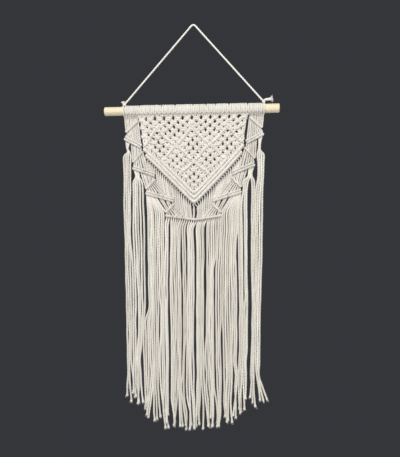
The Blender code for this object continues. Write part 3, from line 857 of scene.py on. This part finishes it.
def make_side_border(side, label, finish):
    """Cords of a side border; returns where each group's strands leave their bar."""
    # the border's cords get a painted highlight where they come forward over a bar
    yarn = Yarn(PAINTED_HIGHLIGHT_TONE)
    hems = []
    outer_x, inner_x = SIDE_TOP
    routes = []
    for share in even_shares(SIDE_CORDS):
        x = side * (outer_x + (inner_x - outer_x) * share)
        routes.append([under_dowel(x, *SIDE_CORD)])
    joined = 0
    added = []
    for short_bar, bar in zip(SHORT_BARS, LONG_BARS):
        count = len(routes)
        join(routes, bar_hitches(*short_bar, even_shares(count), 1, side))
        for route in routes:
            route.append(route[-1] + SHORT_BAR_DIP)
        cords = []
        for i, share in enumerate(even_shares(count)):
            cords.append((share * bar.fan_share, routes[i], True, i in added))
        for share in even_shares(bar.from_chevron):
            foot = border_foot(joined, side)
            cords.append((bar.chevron_share + (1 - bar.chevron_share) * share, [foot], False, False))
            joined += 1
        cords.sort(key=lambda cord: cord[0])
        shares, routes, in_fan, short = [list(column) for column in zip(*cords)]
        partings = tip_partings(len(routes), side) if bar is LONG_BARS[-1] else None
        join(routes, bar_hitches(bar.outer, bar.inner, shares, bar.ridges, side), in_fan, partings)
        for route in [route for route, ends_here in zip(routes, short) if ends_here]:
            yarn.cord(route, KNOT_STEP)
        routes = [route for route, ends_here in zip(routes, short) if not ends_here]
        hems.append([])
        for share in even_shares(bar.let_go):
            hems[-1].append(below_bar(bar, side, share * bar.fringe_share))
            yarn.cord(routes.pop(0), KNOT_STEP)
        count = len(routes) + bar.added
        added = [round((i + 1) * count / (bar.added + 1)) - 1 for i in range(bar.added)]
        for place in added:
            routes.insert(place, [])
        for i, (route, share) in enumerate(zip(routes, even_shares(count))):
            x, drop = below_bar(bar, side, bar.cell_share + (1 - bar.cell_share) * share)
            x += side * bar.pairing * (-1) ** i
            route.append(np.array((x, EXIT_FRONT, drop - EXIT_RISE, EXIT_RADIUS)))
    yarn.make(f"border_cords_{label}", finish, "cotton", f"border_{label}")
    return hems


def join(routes, hitches, in_fan=None, partings=None):
    """Carries each route over the slack stretch to its next hitches: straight in a fan, and hanging deeper
    before it slants where it comes from the chevron."""
    for fan in (True, False):
        chosen = [i for i in range(len(routes)) if (in_fan is None or in_fan[i]) == fan]
        if not chosen:
            continue
        starts = [routes[i][-1] for i in chosen]
        ends = [hitches[i][0] for i in chosen]
        for i, radii in zip(chosen, strand_fill(starts, ends)):
            if fan:
                routes[i] += loose_rows(routes[i][-1], hitches[i][0], radii, FAN_SHARES, *FAN_SLACK)
            else:
                aside = partings[i] if partings else 0.0
                foot = routes[i][-1] + (aside * FOOT_PARTING, *FOOT_HANG, 0.0)
                routes[i].append(foot)
                slack = (*CHEVRON_SLACK, aside * BELLY_PARTING)
                routes[i] += loose_rows(foot, hitches[i][0], radii * CHEVRON_FILL, FAN_SHARES, *slack)
            routes[i] += hitches[i]


def tip_partings(count, side):
    """How far each cord hangs aside under the chevron's tip, where two slits part them."""
    aside = [0.0] * count
    for i, shift in enumerate(TIP_PARTINGS[side]):
        aside[count - 1 - i] = shift
    return aside


def strand_places():
    """The x of every strand at every level: evenly spread, then pushed apart at the gaps."""
    left = read_table(FRINGE_EDGES, LEVELS)
    right = read_table(FRINGE_EDGES, LEVELS, 2)
    index = np.arange(STRANDS)[:, None]
    pitch = (right - left) / STRANDS
    x = left + (index + 0.5) * pitch
    shift = np.zeros_like(x)
    waves = np.zeros_like(x)
    for after, top_x, top, bottom_x, bottom, width in GAPS:
        middle = np.interp(LEVELS, (top, bottom), (top_x, bottom_x))
        fade = np.clip((LEVELS - top) / GAP_FADE + 0.5, 0, 1)
        fade *= np.clip((bottom - LEVELS) / GAP_FADE + 0.5, 0, 1)
        for inner, way in ((after - 1, -1), (after, 1)):
            wanted = middle + way * (width / 2 + STRAND_RADIUS) - x[inner]
            beyond = (index - inner) * way
            pull = np.where(beyond >= 0, np.exp(-beyond * pitch / GAP_SPREAD), 0.0)
            shift += fade * wanted * pull
    for _ in range(WAVES):
        across, down = rng.uniform(*WAVE_ACROSS), rng.uniform(*WAVE_DOWN)
        waves += WAVE_HEIGHT * np.sin(across * index + down * LEVELS + rng.uniform(0, 2 * math.pi))
    waves += rng.normal(0, WAVE_JITTER, x.shape)
    loose = np.clip((LEVELS - TOP_WAVES) / WAVE_FADE, WAVE_LEAST, 1)
    loose += np.clip((LEVELS - END_WAVES) / WAVE_FADE, 0, 1) * END_WAVE_SHARE
    return x + shift + waves * loose


def strand_head(index, group, hem, start, radius, depth, first):
    """Rows of a fringe strand from its bar to where it hangs straight."""
    x, drop = hem
    rows = [(x, -1.4, drop - 1.5, 1.25)]
    side = -1 if index < STRANDS / 2 else 1
    if (group, side) not in BUNCHES:
        return rows + [
            (x + (first - x) * 0.12, -0.8, drop + 4.0, 1.5),
            (x + (first - x) * 0.60, depth * 0.5, drop + (start - drop) * 0.55, radius),
        ]
    at_bar, at_bunch, turn = BUNCHES[group, side]
    bunched = side * np.interp(abs(x), at_bar, at_bunch)
    return rows + [
        ((x + bunched) / 2, -0.8, drop + 5.0, 1.5),
        (bunched, -0.6, min(drop + 12.0, start - 12.0), radius),
        (bunched - side * turn + (first - bunched) * 0.15, depth * 0.5, start - 7.0, radius),
    ]


def strand_route(index, group, hem, across):
    """A fringe strand from its bar to its trimmed end."""
    start = max(STRAIGHT_DROP[group], hem[1] + STRAND_TOP)
    radius = STRAND_RADIUS * rng.uniform(*STRAND_RADII)
    depth = rng.uniform(*STRAND_DEPTHS)
    end = read_table(ENDS, np.interp(END_LEVEL, LEVELS, across))
    end -= rng.uniform(*(SHORT_TRIM if rng.uniform() < SHORT_TRIM_SHARE else LONG_TRIM))
    splay = rng.normal(0, SPLAY, 2)
    waves = rng.normal(0, STRAND_WAVE, len(LEVELS))
    rows = strand_head(index, group, hem, start, radius, depth, np.interp(start, LEVELS, across))
    stops = [(start, 1.0)]
    stops += [(level, 1.0) for level in LEVELS if start + 10 < level < end - 12]
    stops += [(end - before, swell) for before, swell in zip(END_STOPS, END_SWELLS)]
    stray = STRAYS.get(index, ())
    for level, swell in stops:
        if stray and level >= stray[0][1] - STRAY_LEAD:
            break
        free = min(max((level - end + SPLAY_LENGTH) / SPLAY_LENGTH, 0.0), 1.0) ** 2
        x = np.interp(level, LEVELS, across) + splay[0] * free
        front = depth + np.interp(level, LEVELS, waves) + splay[1] * free
        rows.append((x, front, level, radius * swell))
    return rows + [(x, depth, drop, radius) for x, drop in stray]


def fray(yarn, rows, tone):
    """Loose fibres at a strand's cut end."""
    before, (x, front, drop, radius) = rows[-2], rows[-1]
    ahead = np.array((x - before[0], front - before[1], drop - before[2]))
    ahead /= np.linalg.norm(ahead)
    for _ in range(FRAY_FIBRES):
        turn = rng.uniform(0, 2 * math.pi)
        reach = radius * math.sqrt(rng.uniform(0, 1)) * FRAY_REACH
        offset = np.array((reach * math.cos(turn), reach * math.sin(turn), 0.0))
        length = rng.uniform(*FRAY_LENGTHS)
        start = np.array((x, front, drop)) + offset * 0.9 - ahead * FIBRE_ROOT
        yarn.fibre((
            start,
            start + ahead * (FIBRE_ROOT + length * 0.5) + offset * 0.15,
            start + ahead * (FIBRE_ROOT + length) + offset * rng.uniform(*FRAY_SPREAD),
        ), FRAY_RADIUS, tone)


def make_fringe(side, label, hems, across, finish):
    """A side's fringe groups, from the outermost strand inwards."""
    index = 0 if side < 0 else STRANDS - 1
    for group, hem in zip(GROUPS, hems):
        yarn = Yarn()
        for spot in hem:
            tone = rng.uniform(0, 1)
            rows = strand_route(index, group, spot, across[index])
            yarn.cord(rows, STEP, tone, END_TONE)
            fray(yarn, rows, tone + FRAY_TONE)
            index -= side
        yarn.make(f"fringe_cords_{group}_{label}", finish, "fringe", f"fringe_{group}_{label}")


# Hanging cord and ties

def cord_end():
    """Where the hanging cord's right end meets its tie, as x and drop."""
    knot_drop = DOWEL_DROP - KNOT_RISE
    reach = math.hypot(TIE_X, knot_drop)
    knot_reach = 1 / math.hypot(TIE_X / reach / TIE_KNOT[0], knot_drop / reach / TIE_KNOT[2])
    share = 1 - (knot_reach + CLEARANCE) / reach
    return TIE_X * share, knot_drop * share


def cord_route():
    """The hanging cord's route, the same as in the solids: straight runs and a small bend over the nail."""
    x, drop = cord_end()
    steepness = math.pi / 2 - math.atan2(drop, x)
    centre_drop = NAIL_BEND - CORD / 2
    turns = [math.pi / 2 + share * steepness for share in BEND_SHARES]
    arc = [(NAIL_BEND * math.cos(a), centre_drop - NAIL_BEND * math.sin(a)) for a in turns]
    count = int(math.hypot(x, drop) / CORD_STEP)
    left = [between((-x, drop), arc[0], i / count) for i in range(count)]
    return left + arc + [(-a, b) for a, b in reversed(left)]


def make_hanging_cord(finish):
    route = cord_route()
    yarn = Yarn()
    yarn.cord([(x, 0.0, drop, CORD / 2) for x, drop in route], STEP, TIE_TONE)
    obj = yarn.make("hanging_cord_twist", finish, "hanging_cord", "hanging_cord")


def make_tie(side, label, finish):
    """A turn round the dowel, a small knot on top of it and the cord's free end."""
    yarn = Yarn()
    reach = DOWEL_RADIUS + ON_DOWEL + TIE_CORD
    x = side * TIE_X
    top = DOWEL_DROP - KNOT_RISE
    shares = [i / RING_STEPS for i in range(RING_STEPS + 1)]
    ring = [on_dowel(x + side * RING_RADIUS * (share - 0.5), 90 + 360 * share, reach) for share in shares]
    yarn.cord([(*place, RING_RADIUS) for place in ring], KNOT_STEP, TIE_TONE)
    knot = []
    for i in range(TREFOIL_STEPS + 1):
        t = 2 * math.pi * i / TREFOIL_STEPS
        knot.append((
            x + TREFOIL[0] * (math.sin(t) + TREFOIL_LOOP * math.sin(2 * t)),
            TREFOIL[1] * (math.cos(t) - TREFOIL_LOOP * math.cos(2 * t)),
            top + TREFOIL[2] * math.sin(3 * t),
            TIE_CORD,
        ))
    yarn.cord(knot, KNOT_STEP, KNOT_TONE)
    cord_x, cord_drop = cord_end()
    yarn.cord([
        (side * cord_x, 0.0, cord_drop, CORD / 2),
        (x, 0.4, top + 0.4, 1.6),
        (x + side * 0.4, 0.8, top + 3.4, TIE_CORD),
    ], KNOT_STEP, TIE_TONE)
    rows, fibres = TAILS[side]
    tail = [(x + along, front, top + drop, radius) for along, front, drop, radius in rows]
    yarn.cord(tail, KNOT_STEP, TAIL_TONE)
    brush(yarn, tail[-1], *fibres)
    yarn.make(f"tie_cords_{label}", finish, "hanging_cord", f"tie_{label}")


def brush(yarn, row, direction, length, spread, count):
    """The untwisted fibres at a free end."""
    ahead = np.array(direction) / np.linalg.norm(direction)
    for _ in range(count):
        offset = rng.normal(0, 1.0, 3)
        offset -= ahead * offset.dot(ahead)
        start = np.array(row[:3]) + offset * row[3] * BRUSH_FULLNESS - ahead * FIBRE_ROOT
        reach = length * rng.uniform(*BRUSH_LENGTHS)
        middle = start + ahead * reach * 0.55 + offset * spread * 0.25
        end = start + ahead * reach + offset * spread * 0.75
        yarn.fibre((start, middle, end), BRUSH_RADIUS, TAIL_TONE)


# Materials

def new_material(name):
    finish = bpy.data.materials.new(name)
    finish.use_nodes = True
    return finish, finish.node_tree, finish.node_tree.nodes["Principled BSDF"]


def node(tree, kind, inputs=(), **settings):
    """A node with its settings, and its inputs linked or set."""
    made = tree.nodes.new(kind)
    for name, value in settings.items():
        setattr(made, name, value)
    for name, value in inputs:
        if isinstance(value, bpy.types.NodeSocket):
            tree.links.new(value, made.inputs[name])
        else:
            made.inputs[name].default_value = value
    return made


def noise(tree, vector, scale, detail, roughness=0.5, output="Fac"):
    inputs = (("Vector", vector), ("Scale", scale), ("Detail", detail), ("Roughness", roughness))
    return node(tree, "ShaderNodeTexNoise", inputs).outputs[output]


def mapped(tree, vector, scale, location=(0.0, 0.0, 0.0)):
    inputs = (("Vector", vector), ("Scale", scale), ("Location", location))
    return node(tree, "ShaderNodeMapping", inputs).outputs["Vector"]


def weighed(tree, value, share, rest):
    """A value times its share, and the rest added."""
    inputs = ((0, value), (1, share), (2, rest))
    return node(tree, "ShaderNodeMath", inputs, operation="MULTIPLY_ADD").outputs[0]


def colour_shader(tree, shader, value, colours, positions):
    """The base colour between two colours, by a value between two positions."""
    ramp = node(tree, "ShaderNodeValToRGB", (("Fac", value),))
    for element, colour, position in zip(ramp.color_ramp.elements, colours, positions):
        element.position = position
        element.color = (*colour, 1.0)
    tree.links.new(ramp.outputs["Color"], shader.inputs["Base Color"])


def relieve_shader(tree, shader, height, strength, distance):
    inputs = (("Strength", strength), ("Distance", distance), ("Height", height))
    relief = node(tree, "ShaderNodeBump", inputs)
    tree.links.new(relief.outputs["Normal"], shader.inputs["Normal"])


def cotton(name, shade, light, bump):
    """Matt cotton: fibres run along each ply, and every cord has its own tone; for the panel's and borders'
    cords the tone also holds a painted highlight where they come forward.
    """
    finish, tree, shader = new_material(name)
    uv = node(tree, "ShaderNodeUVMap", uv_map="cord").outputs["UV"]
    place = node(tree, "ShaderNodeTexCoord").outputs["Object"]
    tone = node(tree, "ShaderNodeAttribute", attribute_name="tone").outputs["Fac"]
    fibres = noise(tree, mapped(tree, uv, (2.2, 0.28, 1.0)), 3.0, 4.0, 0.65)
    patches = noise(tree, place, 55.0, 2.0)
    fluff = noise(tree, place, 2200.0, 2.0)
    total = weighed(tree, patches, 0.35, weighed(tree, fibres, 0.4, weighed(tree, tone, 0.42, 0.0)))
    colour_shader(tree, shader, total, (shade, light), (0.2, 0.85))
    relieve_shader(tree, shader, weighed(tree, fluff, 0.5, fibres), bump, 0.0004)
    for quality, value in MATT.items():
        shader.inputs[quality].default_value = value
    return finish


def pine(name):
    """Bare pine: growth rings round an axis beside the dowel show as long grain on its side."""
    finish, tree, shader = new_material(name)
    place = node(tree, "ShaderNodeTexCoord").outputs["Object"]
    wander = noise(tree, mapped(tree, place, (6.0, 40.0, 40.0)), 1.0, 2.0, output="Color")
    inputs = ((0, wander), (1, (0.0, 0.004, 0.004)), (2, place))
    shifted = node(tree, "ShaderNodeVectorMath", inputs, operation="MULTIPLY_ADD").outputs["Vector"]
    along = mapped(tree, shifted, (0.02, 1.0, 1.0), PITH)
    inputs = (("Vector", along), ("Scale", 190.0), ("Distortion", 1.2), ("Detail", 2.0))
    rings = node(tree, "ShaderNodeTexWave", inputs, wave_type="RINGS", rings_direction="X").outputs["Fac"]
    colour_shader(tree, shader, rings, PINE, (0.1, 0.9))
    grain = noise(tree, mapped(tree, place, (60.0, 2600.0, 2600.0)), 1.0, 3.0)
    relieve_shader(tree, shader, grain, 0.25, 0.0003)
    shader.inputs["Roughness"].default_value = 0.5
    return finish


# Stage

def make_camera():
    data = bpy.data.cameras.new("camera")
    data.sensor_fit = "HORIZONTAL"
    data.sensor_width = SENSOR
    data.lens = LENS
    camera = link(bpy.data.objects.new("camera", data))
    camera.location = CAMERA_PLACE
    camera.rotation_euler = (math.radians(90), 0.0, math.radians(CAMERA_YAW))
    bpy.context.scene.camera = camera


def area_light(name, place, size, power, colour):
    """A square light that points at the middle of the hanging."""
    data = bpy.data.lights.new(name, "AREA")
    data.size = size
    data.energy = power
    data.color = colour
    light = link(bpy.data.objects.new(name, data))
    light.location = place
    towards = np.array(LIGHT_TARGET) - np.array(place)
    flat = math.hypot(towards[0], towards[1])
    light.rotation_euler = (math.atan2(flat, -towards[2]), 0.0, math.atan2(-towards[0], towards[1]))


def make_stage():
    """A pale floor well below the hanging, a plain backdrop colour and soft studio light."""
    turns = ((-1, -1), (1, -1), (1, 1), (-1, 1))
    corners = [(x * FLOOR_HALF, y * FLOOR_HALF, FLOOR_HEIGHT) for x, y in turns]
    mesh = bpy.data.meshes.new("floor")
    mesh.from_pydata(corners, [], [(0, 1, 2, 3)])
    finish, _, shader = new_material("floor_pale")
    shader.inputs["Base Color"].default_value = (0.78, 0.77, 0.75, 1.0)
    shader.inputs["Roughness"].default_value = 0.8
    mesh.materials.append(finish)
    link(bpy.data.objects.new("floor", mesh))
    world = bpy.data.worlds.new("studio")
    world.use_nodes = True
    world.node_tree.nodes["Background"].inputs["Color"].default_value = BACKDROP
    bpy.context.scene.world = world
    for light in LIGHTS:
        area_light(*light)
    bpy.context.scene.view_settings.view_transform = "Standard"


def main():
    make_camera()
    knotted, stepped, hanging, bright = [cotton(f"cotton_{kind}", *looks) for kind, looks in COTTONS.items()]
    make_hanging_cord(bright)
    for side, label in BOTH_SIDES:
        make_tie(side, label, bright)
    make_heading(knotted)
    make_chevron(knotted)
    across = strand_places()
    for side, label in BOTH_SIDES:
        hems = make_side_border(side, label, stepped)
        make_fringe(side, label, hems, across, hanging)
    wood = pine("pine_bare")
    for slot in bpy.data.objects["dowel"].material_slots:
        slot.material = wood
    make_stage()


main()
